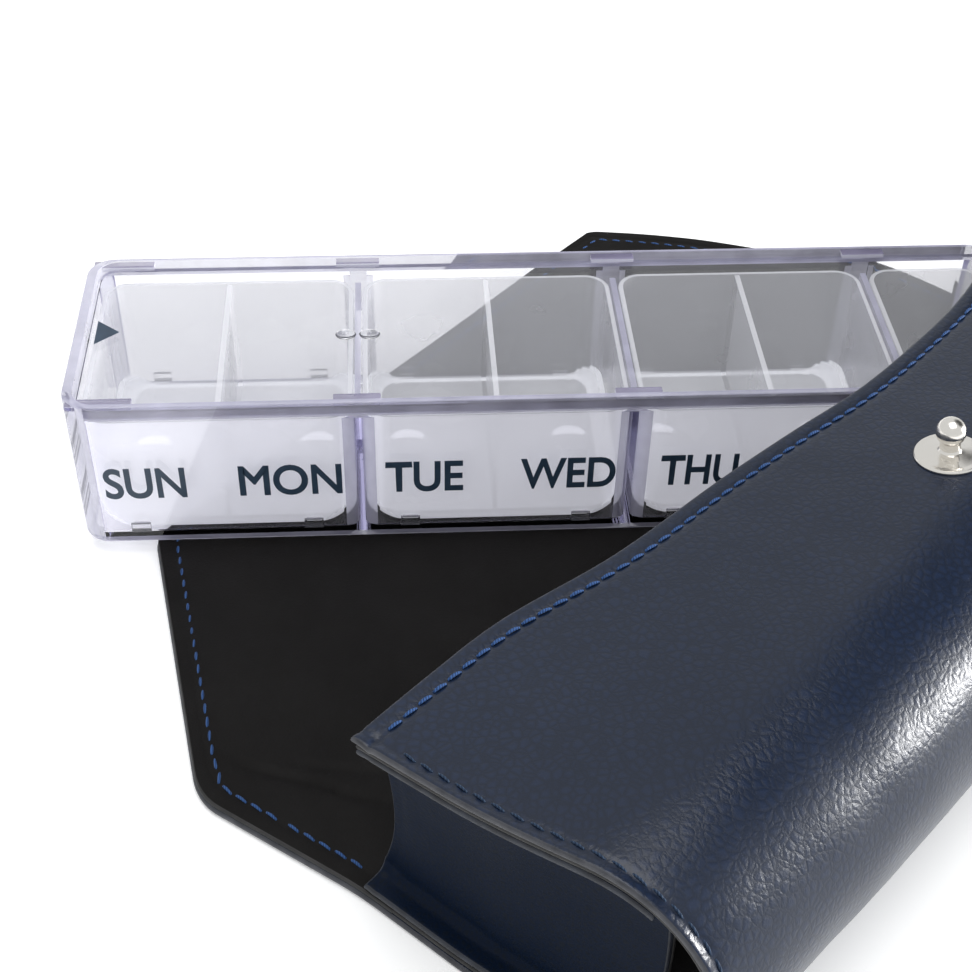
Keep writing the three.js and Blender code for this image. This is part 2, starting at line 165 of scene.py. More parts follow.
def shade(mesh, angle, flat_over=2.4):
    """Smooth shading, except at sharp edges and on broad flat faces, where it would bend what shows
    through them."""
    mesh.shade_smooth()
    mesh.set_sharp_from_angle(angle=math.radians(angle))
    for face in mesh.polygons:
        corners = [mesh.vertices[i].co for i in face.vertices]
        girth = sum((a - b).length for a, b in zip(corners, corners[1:] + corners[:1]))
        if 2 * face.area > flat_over * MM * girth:
            face.use_smooth = False


def finished_mesh(made):
    graph = bpy.context.evaluated_depsgraph_get()
    return bpy.data.meshes.new_from_object(made.evaluated_get(graph))


def apply_modifiers(made):
    mesh = finished_mesh(made)
    made.modifiers.clear()
    made.data = mesh


def bevelled(made, width, segments=3, angle=50):
    """Rounds every edge that is sharper than an angle."""
    rounding = made.modifiers.new("round", "BEVEL")
    rounding.width = width * MM
    rounding.segments = segments
    rounding.limit_method = "ANGLE"
    rounding.angle_limit = math.radians(angle)
    apply_modifiers(made)
    shade(made.data, angle)
    return made


def combined(made, others, operation, angle=35):
    """Cuts or joins other pieces, which are used up."""
    for other in others:
        cut = made.modifiers.new("cut", "BOOLEAN")
        cut.operation = operation
        cut.object = other
        cut.solver = "EXACT"
        apply_modifiers(made)
        bpy.data.objects.remove(other)
    shade(made.data, angle)
    return made


def band(low, high, count):
    """Faces between two rings of points, whose first points have these numbers."""
    ring = [(i, (i + 1) % count) for i in range(count)]
    return [(low + i, low + j, high + j, high + i) for i, j in ring]


def sheet_faces(rows, columns, start=0):
    """Faces of a grid whose points run row by row."""
    faces = []
    for r in range(rows - 1):
        for c in range(columns - 1):
            a = start + r * columns + c
            faces.append((a, a + 1, a + columns + 1, a + columns))
    return faces


def slab(top, bottom):
    """Points, faces and material numbers of a closed sheet between two grids of shape (rows, columns, 3).
    Its rim has material 1."""
    rows, columns = top.shape[:2]
    count = rows * columns
    points = np.concatenate([top.reshape(-1, 3), bottom.reshape(-1, 3)])
    faces = sheet_faces(rows, columns) + sheet_faces(rows, columns, count)
    edge = list(range(columns))
    edge += [r * columns + columns - 1 for r in range(1, rows)]
    edge += [(rows - 1) * columns + c for c in range(columns - 2, -1, -1)]
    edge += [r * columns for r in range(rows - 2, 0, -1)]
    rim = [(a, b, b + count, a + count) for a, b in zip(edge, edge[1:] + edge[:1])]
    return points, faces + rim, [0] * len(faces) + [1] * len(rim)


def rounded_loop(x0, x1, y0, y1, radius, z, steps=10):
    points = []
    corners = ((x1, y0, -90), (x1, y1, 0), (x0, y1, 90), (x0, y0, 180))
    for x, y, start in corners:
        cx = x - radius if x == x1 else x + radius
        cy = y - radius if y == y1 else y + radius
        for i in range(steps + 1):
            a = math.radians(start + 90 * i / steps)
            points.append((cx + radius * math.cos(a), cy + radius * math.sin(a), z))
    return points


def inset_loop(bounds, inset, z, radius, steps=10):
    x0, x1, y0, y1 = bounds
    return rounded_loop(x0 + inset, x1 - inset, y0 + inset, y1 - inset, radius - inset, z, steps)


def loft(name, loops, materials, place, angle=35):
    """A closed solid through loops of equal length, capped at both ends."""
    n = len(loops[0])
    points = [p for loop in loops for p in loop]
    faces = [tuple(range(n)), tuple(range((len(loops) - 1) * n, len(loops) * n))]
    for k in range(len(loops) - 1):
        faces += band(k * n, (k + 1) * n, n)
    return make_piece(name, points, faces, materials, place, angle=angle)


def block(name, x0, x1, y0, y1, z0, z1, materials, place, round_by=0.0):
    loops = [[(x0, y0, z), (x1, y0, z), (x1, y1, z), (x0, y1, z)] for z in (z0, z1)]
    made = loft(name, loops, materials, place)
    return bevelled(made, round_by, 2) if round_by else made


def lathe(name, profile, materials, place, steps=64, angle=40):
    """Turns a profile of (radius, height) points, which starts and ends on the axis."""
    inner = profile[1:-1]
    points = [(0, 0, profile[0][1]), (0, 0, profile[-1][1])]
    for radius, z in inner:
        for i in range(steps):
            a = 2 * math.pi * i / steps
            points.append((radius * math.cos(a), radius * math.sin(a), z))
    faces = []
    last = 2 + (len(inner) - 1) * steps
    for i in range(steps):
        j = (i + 1) % steps
        faces += [(0, 2 + i, 2 + j), (1, last + i, last + j)]
    for low in range(2, last, steps):
        faces += band(low, low + steps, steps)
    return make_piece(name, points, faces, materials, place, angle=angle)


# ---- materials
class Nodes:
    """Short ways to add nodes to the tree of a material or a world, and to set its shader."""

    def __init__(self, owner, shader):
        owner.use_nodes = True
        self.owner = owner
        self.tree = owner.node_tree
        self.shader = self.tree.nodes[shader]

    def look(self, **sockets):
        """Sets or links sockets of the shader; an underscore stands for a space."""
        for socket, value in sockets.items():
            self.feed(self.shader.inputs[socket.replace("_", " ")], value)

    def add(self, kind, links=None, **settings):
        node = self.tree.nodes.new("ShaderNode" + kind)
        for key, value in settings.items():
            setattr(node, key, value)
        for socket, value in (links or {}).items():
            self.feed(node.inputs[socket], value)
        return node

    def feed(self, socket, value):
        if isinstance(value, bpy.types.NodeSocket):
            self.tree.links.new(value, socket)
        else:
            socket.default_value = value

    def place(self):
        return self.add("TexCoord").outputs["Object"]

    def noise(self, scale, detail=2.0, vector=None):
        links = {"Scale": scale, "Detail": detail, "Vector": vector or self.place()}
        return self.add("TexNoise", links).outputs["Fac"]

    def ramp(self, value, low, high, out_low=0.0, out_high=1.0):
        links = {"Value": value, "From Min": low, "From Max": high, "To Min": out_low, "To Max": out_high}
        return self.add("MapRange", links).outputs["Result"]

    def blend(self, factor, a, b):
        node = self.add("Mix", data_type="RGBA")
        self.feed(node.inputs["Factor"], factor)
        self.feed(node.inputs[6], a)
        self.feed(node.inputs[7], b)
        return node.outputs[2]

    def bump(self, height, distance, strength=1.0, normal=None):
        links = {"Height": height, "Distance": distance, "Strength": strength}
        if normal is not None:
            links["Normal"] = normal
        return self.add("Bump", links).outputs["Normal"]


def new_look(name, **sockets):
    """Nodes of a new material with one Principled shader."""
    nodes = Nodes(bpy.data.materials.new(name), "Principled BSDF")
    nodes.look(**sockets)
    return nodes


def pebbled_leather(name, colour, shaded_valley, cell, relief, rough, specular):
    """Grained leather: pebbles a cell across and relief high, fine pores, uneven gloss and tone, and
    painted shade that darkens the hollows between the pebbles.
    """
    nodes = new_look(name, Coat_Weight=0.05, Coat_Roughness=0.35, Specular_IOR_Level=specular)
    place = nodes.place()
    wander = nodes.add("TexNoise", {"Vector": place, "Scale": 260.0, "Detail": 2.0}).outputs["Color"]
    shifted = nodes.add("VectorMath", {0: wander, 1: (0.0009, 0.0009, 0.0009)}, operation="MULTIPLY")
    moved = nodes.add("VectorMath", {0: place, 1: shifted.outputs[0]}, operation="ADD").outputs[0]
    scale = 1 / (cell * MM)
    edge = nodes.add("TexVoronoi", {"Vector": moved, "Scale": scale}, feature="DISTANCE_TO_EDGE")
    dome = nodes.ramp(edge.outputs["Distance"], 0.0, 0.32)
    small = nodes.add("TexVoronoi", {"Vector": moved, "Scale": scale * 2.3}, feature="DISTANCE_TO_EDGE")
    pebble = nodes.add("Math", {0: dome, 1: small.outputs["Distance"]}, operation="ADD").outputs[0]
    pores = nodes.noise(3200.0, 3.0)
    tone = nodes.ramp(nodes.noise(28.0, 4.0), 0.3, 0.7)
    lit = nodes.blend(tone, tuple(0.82 * c for c in colour) + (1,), colour + (1,))
    # Painted shade: the hollows between the pebbles are darker than the lit pebble tops
    nodes.look(Base_Color=nodes.blend(dome, shaded_valley + (1,), lit))
    gloss = nodes.ramp(nodes.noise(60.0, 3.0), 0.3, 0.7, *rough)
    grain = nodes.bump(pebble, relief * MM, 0.8)
    nodes.look(Roughness=gloss, Normal=nodes.bump(pores, 0.009 * MM, 0.5, grain))
    return nodes.owner


def lining_leather():
    nodes = new_look("black_lining", Specular_IOR_Level=0.1)
    place = nodes.place()
    tone = nodes.ramp(nodes.noise(45.0, 5.0), 0.3, 0.75)
    colour = nodes.blend(tone, (0.006, 0.0054, 0.0053, 1), (0.0092, 0.0084, 0.0082, 1))
    nodes.look(Base_Color=colour)
    nodes.look(Roughness=nodes.ramp(nodes.noise(130.0, 3.0), 0.3, 0.7, 0.5, 0.66))
    cells = nodes.add("TexVoronoi", {"Vector": place, "Scale": 1500.0}, feature="DISTANCE_TO_EDGE")
    grain = nodes.bump(nodes.ramp(cells.outputs["Distance"], 0, 0.3), 0.03 * MM, 0.6)
    nodes.look(Normal=nodes.bump(nodes.noise(90.0, 4.0), 0.35 * MM, 0.5, grain))
    return nodes.owner


def painted_edge(name, light, dark, rough):
    """The cut and burnished rim of the leather: streaky, a little worn."""
    nodes = new_look(name)
    wear = nodes.ramp(nodes.noise(420.0, 5.0), 0.35, 0.7)
    gloss = nodes.ramp(nodes.noise(300.0), 0.3, 0.7, *rough)
    nodes.look(Base_Color=nodes.blend(wear, dark + (1,), light + (1,)), Roughness=gloss)
    nodes.look(Normal=nodes.bump(nodes.noise(1500.0, 3.0), 0.05 * MM, 0.6))
    return nodes.owner


def sewing_thread(name, dark, light):
    nodes = new_look(name, Roughness=0.6, Sheen_Weight=0.1, Sheen_Roughness=0.4, Specular_IOR_Level=0.2)
    twist = nodes.add("TexWave", {"Vector": nodes.place(), "Scale": 900.0, "Distortion": 2.0})
    ply = twist.outputs["Fac"]
    # Painted shade: the thread's colour is darker in the grooves of its twist
    colour = nodes.blend(ply, dark + (1,), light + (1,))
    nodes.look(Base_Color=colour, Normal=nodes.bump(ply, 0.06 * MM, 0.7))
    return nodes.owner


def let_lamps_through(nodes, tint):
    """Lamp light and bounced light pass straight through, so that nothing behind goes dark."""
    path = nodes.add("LightPath").outputs
    skip = nodes.add("Math", {0: path["Is Shadow Ray"], 1: path["Is Diffuse Ray"]}, operation="MAXIMUM")
    clear = nodes.add("BsdfTransparent", {"Color": tint})
    mix = nodes.add("MixShader", {0: skip.outputs[0], 1: nodes.shader.outputs[0], 2: clear.outputs[0]})
    nodes.feed(nodes.tree.nodes["Material Output"].inputs["Surface"], mix.outputs[0])


def clear_plastic(name, roughness, tint, volume):
    """Polished moulded plastic: it darkens towards lavender along long paths through it."""
    nodes = new_look(name, Transmission_Weight=1.0, IOR=1.49, Base_Color=tint + (1,))
    marks = nodes.ramp(nodes.noise(55.0, 2.0), 0.3, 0.8, roughness, roughness + 0.015)
    nodes.look(Roughness=marks, Normal=nodes.bump(nodes.noise(35.0, 2.0), 0.03 * MM, 0.5))
    let_lamps_through(nodes, (0.97, 0.97, 0.985, 1))
    colour, density = volume
    inside = nodes.add("VolumeAbsorption", {"Color": colour + (1,), "Density": density})
    nodes.feed(nodes.tree.nodes["Material Output"].inputs["Volume"], inside.outputs[0])
    return nodes.owner


def hazy_edge(name, colour, haze):
    """Moulded edges of the clear plastic, painted a see-through milky lavender as painted light where they
    gather and carry light, or a dark colour as painted shade.
    """
    nodes = new_look(name, Roughness=0.12, IOR=1.49)
    tone = nodes.ramp(nodes.noise(180.0, 3.0), 0.3, 0.7)
    dim = tuple(0.8 * c for c in colour) + (1,)
    nodes.look(Base_Color=nodes.blend(tone, dim, colour + (1,)))
    cloud = nodes.ramp(nodes.noise(90.0), 0.3, 0.7, haze - 0.08, haze + 0.05)
    nodes.look(Alpha=cloud, Normal=nodes.bump(nodes.noise(300.0, 2.0), 0.02 * MM, 0.5))
    return nodes.owner


def frosted_plastic(name, haze, white=0.88, painted_glow=0.0):
    """Thin translucent liner: part of the light passes, the rest is scattered white; painted_glow adds
    emission, painted light for light spreading through it.
    """
    colour = (white, white * 1.005, white * 1.03, 1)
    nodes = new_look(name, Base_Color=colour, IOR=1.46, Emission_Strength=painted_glow)
    nodes.look(Emission_Color=(0.95, 0.96, 1.0, 1))
    cloud = nodes.ramp(nodes.noise(40.0, 4.0), 0.3, 0.7, haze - 0.03, haze + 0.03)
    nodes.look(Roughness=nodes.ramp(nodes.noise(90.0), 0.3, 0.7, 0.2, 0.3))
    nodes.look(Alpha=cloud, Normal=nodes.bump(nodes.noise(70.0, 2.0), 0.01 * MM, 0.4))
    return nodes.owner


def printing_ink():
    nodes = new_look("printed_navy")
    patchy = nodes.ramp(nodes.noise(700.0, 4.0), 0.3, 0.75)
    colour = nodes.blend(patchy, (0.022, 0.042, 0.072, 1), (0.034, 0.062, 0.1, 1))
    nodes.look(Base_Color=colour, Roughness=nodes.ramp(patchy, 0, 1, 0.35, 0.5))
    return nodes.owner


def nickel_plate():
    nodes = new_look("nickel_plate", Metallic=1.0, Base_Color=(0.80, 0.77, 0.72, 1))
    scuffs = nodes.add("TexNoise", {"Vector": nodes.place(), "Scale": 1400.0, "Detail": 6.0})
    marks = scuffs.outputs["Fac"]
    gloss = nodes.ramp(marks, 0.35, 0.7, 0.1, 0.26)
    nodes.look(Roughness=gloss, Normal=nodes.bump(marks, 0.008 * MM, 0.5))
    return nodes.owner


# NAVY_SHADED_VALLEY is painted shade for the hollows between the pebbles
NAVY, NAVY_SHADED_VALLEY = (0.006, 0.0145, 0.04), (0.003, 0.008, 0.022)
# GUSSET_SHADED_NAVY: a darker copy of the navy, painted shade for the gussets set back in the case's ends
GUSSET_SHADED_NAVY = (0.005, 0.009, 0.018)
leather = pebbled_leather("navy_leather", NAVY, NAVY_SHADED_VALLEY, 1.25, 0.028, (0.27, 0.34), 0.4)
gusset_leather = pebbled_leather("navy_gusset_leather", GUSSET_SHADED_NAVY, NAVY_SHADED_VALLEY,
                                 0.9, 0.03, (0.45, 0.58), 0.05)
lining = lining_leather()
rim = painted_edge("burnished_rim", (0.05, 0.052, 0.062), (0.018, 0.02, 0.027), (0.4, 0.55))
# gusset_shaded_rim: a darker copy of the rim, painted shade for the gap under the case's edge
gusset_shaded_rim = painted_edge("gusset_shaded_rim", (0.02, 0.026, 0.04), (0.006, 0.008, 0.014), (0.5, 0.6))
lining_rim = painted_edge("lining_rim", (0.02, 0.019, 0.019), (0.008, 0.008, 0.008), (0.5, 0.65))
thread = sewing_thread("blue_thread", (0.014, 0.04, 0.12), (0.04, 0.11, 0.30))
dull_thread = sewing_thread("navy_thread", (0.01, 0.022, 0.05), (0.03, 0.055, 0.10))
clear = clear_plastic("clear_plastic", 0.012, (0.99, 0.985, 1.0), ((0.2, 0.14, 0.70), 15.0))
lid_clear = clear_plastic("clear_lid", 0.012, (0.99, 0.99, 0.995), ((0.4, 0.4, 0.5), 14.0))
# painted_light_edge and painted_pale_edge are painted light: milky lavender where edges, corners and
# dividers gather light
painted_light_edge = hazy_edge("clear_painted_light_edge", (0.49, 0.48, 0.63), 0.62)
painted_pale_edge = hazy_edge("clear_corner", (0.78, 0.77, 0.9), 0.5)
# lip_painted_shade paints the lip tops dark, as painted shade
lip_painted_shade = hazy_edge("clear_lip", (0.22, 0.20, 0.32), 0.7)
# painted_shadow_edge paints shadow lines on the rims of the tab windows
painted_shadow_edge = hazy_edge("clear_snap_painted_shadow", (0.05, 0.05, 0.06), 0.8)
frosted = frosted_plastic("frosted_wall", 0.33, 0.76)
# frosted_front_painted_glow: painted light, an emission that makes the liners' front walls shine
frosted_front_painted_glow = frosted_plastic("frosted_front_painted_glow", 0.64, 0.95, 0.38)
# frosted_painted_highlight: a painted highlight with emission, on dish walls, bottom curves and outlines
frosted_painted_highlight = frosted_plastic("frosted_painted_highlight", 0.93, 0.97, 0.28)
frosted_floor = frosted_plastic("frosted_floor", 0.5, 0.8)
frosted_edge = frosted_plastic("frosted_edge", 0.55)
ink = printing_ink()
nickel = nickel_plate()


# ---- curved sheets
def smooth_curve(x, knots):
    """A smooth curve through (x, y) knots."""
    places, values = np.array(knots, float).T
    slopes = np.gradient(values, places)
    i = np.clip(np.searchsorted(places, x) - 1, 0, len(places) - 2)
    step = places[i + 1] - places[i]
    t = (x - places[i]) / step
    ends = values[i] * (1 + 2 * t) * (1 - t) ** 2 + values[i + 1] * t * t * (3 - 2 * t)
    return ends + step * t * (1 - t) * (slopes[i] * (1 - t) - slopes[i + 1] * t)


EDGE_STEPS = np.array([0, 0.07, 0.18, 0.34, 0.55, 0.9, 1.4, 2.0, 2.4, 2.8, 3.2, 3.8])


def spaced(low, high, count):
    """Places from low to high, close together near both ends."""
    reach = EDGE_STEPS[-1] + 1
    inner = np.linspace(low + reach, high - reach, count)
    return np.concatenate([low + EDGE_STEPS, inner, high - EDGE_STEPS[::-1]])


def grid_normals(grid):
    normals = np.cross(np.gradient(grid, axis=1), np.gradient(grid, axis=0))
    return normals / np.linalg.norm(normals, axis=2, keepdims=True)


def side_distances(grid):
    """How far each point of a grid is from its first row, last row, first column and last column."""
    down = np.linalg.norm(np.diff(grid, axis=0), axis=2).cumsum(axis=0)
    down = np.vstack([np.zeros((1, grid.shape[1])), down])
    across = np.linalg.norm(np.diff(grid, axis=1), axis=2).cumsum(axis=1)
    across = np.hstack([np.zeros((grid.shape[0], 1)), across])
    return [down, down[-1] - down, across, across[:, -1:] - across]


def sheet(name, grid, out, thickness, materials, relief=0.0, square=(), painted=0.4):
    """A closed sheet whose outer face lies out from a grid along its normals, with rounded rims.
    square lists the sides, numbered as in side_distances, that stay square. The second material covers
    the rim and a painted distance in from it."""
    sides = side_distances(grid)
    for side in square:
        sides[side] = np.full(grid.shape[:2], 9.0)
    radius = thickness * 0.45
    near = 1 - np.clip(np.minimum.reduce(sides) / radius, 0, 1)
    shrink = radius * (1 - np.sqrt(1 - near**2))
    normals = grid_normals(grid)
    upper = grid + normals * (out + relief - shrink)[..., None]
    lower = grid + normals * (out + relief - thickness + shrink)[..., None]
    points, faces, indices = slab(upper, lower)
    beside = np.tile(np.minimum.reduce(sides).ravel() < painted, 2)
    indices = [int(beside[list(face)].all()) or index for face, index in zip(faces, indices)]
    return make_piece(name, points, faces, materials, in_case, indices, angle=60)


# ---- the case
OPENING_EDGE = ((-91.5, 0.3), (-78, 0.8), (-66, 1.6), (-45, 6.5), (-20, 9.7), (-6, 12), (8, 14.6))
OPENING_EDGE += ((26, 15.7), (40, 15.5), (50, 14.2), (60, 11.5), (70, 8), (80, 4), (91.5, 0.3))


def fold_circle(x):
    """Centre and radius of the bottom fold at a place along the case: it bulges in the middle."""
    crown = 1 - (np.asarray(x, float) / HALF) ** 2
    radius = FOLD_RADIUS + FOLD_SWELL * crown
    return radius - CASE_DEPTH - CASE_SAG * crown, radius


def front_tilt(x):
    """Direction of the front panel's normal, and the panel's length from the mouth line to the fold."""
    centre, radius = fold_circle(x)
    reach = np.hypot(centre, MOUTH_TOP - radius)
    lean = np.arctan2(MOUTH_TOP - radius, -centre)
    return lean + np.arccos(radius / reach), np.sqrt(reach**2 - radius**2)


def narrowed(x, y):
    """The case narrows a little towards its bottom fold."""
    return x * (1 - FOLD_TAPER * smoothstep(15, 55, -np.asarray(y, float)))


def front_point(x, behind):
    """A point of the front panel's outer face, a distance behind the mouth line."""
    angle, _ = front_tilt(x)
    y = -behind * np.sin(angle)
    z = MOUTH_TOP + behind * np.cos(angle)
    return np.stack([narrowed(x, y), y, z], axis=-1)


def wall_grid(half, edge_inset, fold_rows=64):
    """Outer face of the case's wall: back panel, bottom fold and front panel up to the opening edge."""
    x = spaced(-half, half, 104)
    centre, radius = fold_circle(x)
    angle, length = front_tilt(x)
    rows = []
    for t in np.linspace(0, 1, 14):
        y = FLAP_JOIN + (centre - FLAP_JOIN) * t
        rows.append(np.stack([narrowed(x, y), y, 0 * x], axis=-1))
    for t in np.linspace(0, 1, fold_rows)[1:]:
        a = -np.pi / 2 + t * (angle - 1.5 * np.pi)
        y = centre + radius * np.cos(a)
        rows.append(np.stack([narrowed(x, y), y, radius + radius * np.sin(a)], axis=-1))
    cut = smooth_curve(x * HALF / half, OPENING_EDGE) + edge_inset
    fine = EDGE_STEPS[-1] + 1
    for t in np.linspace(0, 1, 20)[1:]:
        rows.append(front_point(x, length + (cut + fine - length) * t))
    for e in EDGE_STEPS[::-1]:
        rows.append(front_point(x, cut + e))
    return np.array(rows)


def soft_relief(grid, deep=0.28, fine=0.1, seed=0):
    """Unevenness of hand-sewn leather."""
    flat = grid.reshape(-1, 3)
    field = deep * ripple(flat, 30, seed) + fine * ripple(flat, 8, seed + 1)
    return field.reshape(grid.shape[:2])


def seam_relief(distance, seam=SEAM):
    """A stitch groove, and a raised band between it and the edge."""
    groove = 0.1 * seam * np.exp(-(((distance - seam) / 0.5) ** 2))
    return 0.18 * (1 - smoothstep(0.2 * seam, 0.8 * seam, distance)) - groove


def make_shell():
    grid = wall_grid(HALF, 0.0)
    _, mouth_edge, left, right = side_distances(grid)
    beyond_back = smoothstep(8, 14, side_distances(grid)[0])
    ends = np.minimum(left, right)
    relief = soft_relief(grid) * beyond_back * smoothstep(0, 6, np.minimum(ends, mouth_edge))
    relief += seam_relief(mouth_edge) + seam_relief(ends, END_SEAM) * beyond_back
    outer = sheet("case_shell_leather", grid, 0.0, LEATHER, (leather, rim), relief, square=(0,))
    inner_grid = wall_grid(HALF - 0.35, 0.35, 40)
    inner = sheet("case_shell_lining", inner_grid, -LEATHER - 0.02, SKIN - LEATHER, (lining, lining_rim),
                  square=(0,))
    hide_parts("case_leather")
    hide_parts("case_lining")
    for made in (outer, inner):
        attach(made, "leather_case")


def wall_height(x, y):
    """Heights of the wall's outer face below and above a point inside the case."""
    centre, radius = fold_circle(x)
    angle, _ = front_tilt(x)
    swell = np.sqrt(np.maximum(radius**2 - (y - centre) ** 2, 0))
    low = np.where(y > centre, 0, radius - swell)
    tangent = centre + radius * np.cos(angle)
    high = np.where(y > tangent, MOUTH_TOP - y / np.tan(angle), radius + swell)
    return low, high


def gusset_section():
    """(distance in from the case's end, part of the height, height added) along a gusset, from one
    flange to the other."""
    bend, web = 2.2, GUSSET_INSET
    section = [(e + 0.35, 0.0, 0.0) for e in EDGE_STEPS if e < web - bend - 0.4]
    turn = [math.radians(a) for a in range(-90, -181, -15)]
    corner = [(web - bend - bend * math.cos(a), bend + bend * math.sin(a)) for a in turn]
    section += [(e, 0.0, rise) for e, rise in corner]
    section += [(web, t, bend * (1 - 2 * t)) for t in np.linspace(0, 1, 30)[1:-1]]
    section += [(e, 1.0, -rise) for e, rise in reversed(corner)]
    section += [(e + 0.35, 1.0, 0.0) for e in EDGE_STEPS[::-1] if e < web - bend - 0.4]
    return section


def gusset_grid(side, edge_inset=0.0, rear=GUSSET_REAR):
    """Middle of the gusset's sheet, from its dipped mouth edge to where it ends before the fold."""
    margin = SKIN + 0.75
    rows = []
    for inset, share, rise in gusset_section():
        dip = GUSSET_DIP * (1 - (2 * share - 1) ** 2) if inset >= GUSSET_INSET else 0.0
        front = -0.8 - dip - edge_inset
        row = []
        for t in spaced(0, rear + front, 18):
            y = front - t
            x = HALF - inset
            low, high = wall_height(x, y)
            low, high = low + margin, high - margin
            z = low + (high - low) * share + rise
            bow = 1.5 * math.sin(math.pi * share) * smoothstep(0, 12, t)
            row.append((side * (narrowed(x, y) - bow), y, z))
        rows.append(row)
    return np.array(rows)


def make_gussets():
    for side, name in ((-1, "left"), (1, "right")):
        grid = gusset_grid(side)
        relief = soft_relief(grid, 0.55, 0.22, 5 + side)
        sides = side_distances(grid)
        relief *= smoothstep(2.5, 7, np.minimum(sides[0], sides[1]))
        crinkle = ripple(grid.reshape(-1, 3) * (1, 1, 0.5), 2.6, 31).reshape(relief.shape)
        relief -= side * 0.5 * np.abs(crinkle) * np.exp(-(((sides[0] - 5.2) / 1.8) ** 2))
        seam = np.exp(-(((sides[2] - 1.7) / 0.35) ** 2))
        relief += side * 0.22 * seam
        skin = sheet(f"{name}_gusset_skin", grid, LEATHER / 2, LEATHER, (gusset_leather, gusset_shaded_rim),
                     relief)
        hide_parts(f"{name}_gusset_leather")
        web = [i for i, (inset, _, _) in enumerate(gusset_section()) if inset >= GUSSET_INSET]
        back_grid = gusset_grid(side, 0.5)[web[1]:web[-1]]
        back_relief = soft_relief(back_grid, 0.55, 0.22, 5 + side)
        out = LEATHER / 2 + 0.52 if side > 0 else -LEATHER / 2 - 0.02
        backing = sheet(f"{name}_gusset_backing", back_grid, out, 0.5, (lining, lining_rim), back_relief)
        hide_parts(f"{name}_gusset_lining")
        for made in (skin, backing):
            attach(made, "leather_case")


# ---- the flap
def flap_half(y, side):
    """Half the flap's width, with rounded corners. Its right side curls and so reaches less far."""
    def straight(at):
        slope = (FLAP_END - FLAP_WIDE) / (FLAP_END_AT - FLAP_WIDE_AT)
        before = HALF + (FLAP_WIDE - HALF) * np.maximum(at, 0) / FLAP_WIDE_AT
        return np.minimum(before, FLAP_WIDE + slope * (at - FLAP_WIDE_AT))

    width = np.mean([straight(y + k) for k in np.linspace(-3.5, 3.5, 15)], axis=0)
    run = math.hypot(FLAP_WIDE - FLAP_END, FLAP_END_AT - FLAP_WIDE_AT)
    lean = (FLAP_END_AT - FLAP_WIDE_AT) / run
    rise = (FLAP_WIDE - FLAP_END) / run
    centre_y = FLAP_END_AT - FLAP_CORNER
    centre_x = straight(centre_y) - FLAP_CORNER / lean
    above = np.clip(y - centre_y, 0, FLAP_CORNER)
    rounded = centre_x + np.sqrt(np.maximum(FLAP_CORNER**2 - above**2, 0))
    width = np.where(y > centre_y + FLAP_CORNER * rise, np.minimum(width, rounded), width)
    if side > 0:
        width = width - FLAP_CURL * np.exp(-(((y - CURL_AT) / CURL_WIDE) ** 2))
    return width


def flap_lift(points):
    """The flap lies flat under the box; its far right corner stands off the table."""
    x, y = points[..., 0], points[..., 1]
    far = smoothstep(38, 74, y) * smoothstep(5, 50, x)
    return 0.7 * far + 0.4 * smoothstep(60, 92, x) * smoothstep(6, 22, y)


def flap_grid(y0, y1, inset=0.0, height=0.0, fine_end=False):
    rows = list(np.arange(y0, y1, 0.85)) + [y1]
    if fine_end:
        rows = [y for y in rows if y < y1 - EDGE_STEPS[-1] - 0.5] + list(y1 - inset - EDGE_STEPS[::-1])
    grid = []
    for y in rows:
        left, right = -flap_half(np.float64(y), -1) + inset, flap_half(np.float64(y), 1) - inset
        x = spaced(left, right, 200)
        grid.append(np.stack([x, np.full_like(x, y), np.full_like(x, height)], axis=-1))
    grid = np.array(grid)
    grid[..., 2] += flap_lift(grid)
    return grid


def crease(points, start, end, depth, width, wander, seed):
    """A thin wandering crease between two points of a flat sheet."""
    a, b = np.array(start, float), np.array(end, float)
    d = (b - a) / np.linalg.norm(b - a)
    p = points[..., :2] - a
    t = (p @ d) / np.linalg.norm(b - a)
    flat = points.reshape(-1, 3)
    off = p @ np.array([-d[1], d[0]]) + wander * ripple(flat, 7, seed).reshape(t.shape)
    fade = smoothstep(0, 0.25, t) * (1 - smoothstep(0.75, 1, t))
    return -depth * fade * np.exp(-((off / width) ** 2))


# name, start, end, the bodies before and after its fold, and the fold's place
FLAP_PARTS = (("spine", FLAP_JOIN, FLAP_SPLIT, "leather_case", "flap_spine", 0.0),
              ("cover", FLAP_SPLIT, FLAP_END_AT, "flap_spine", "flap_cover", FOLD_SPINE))


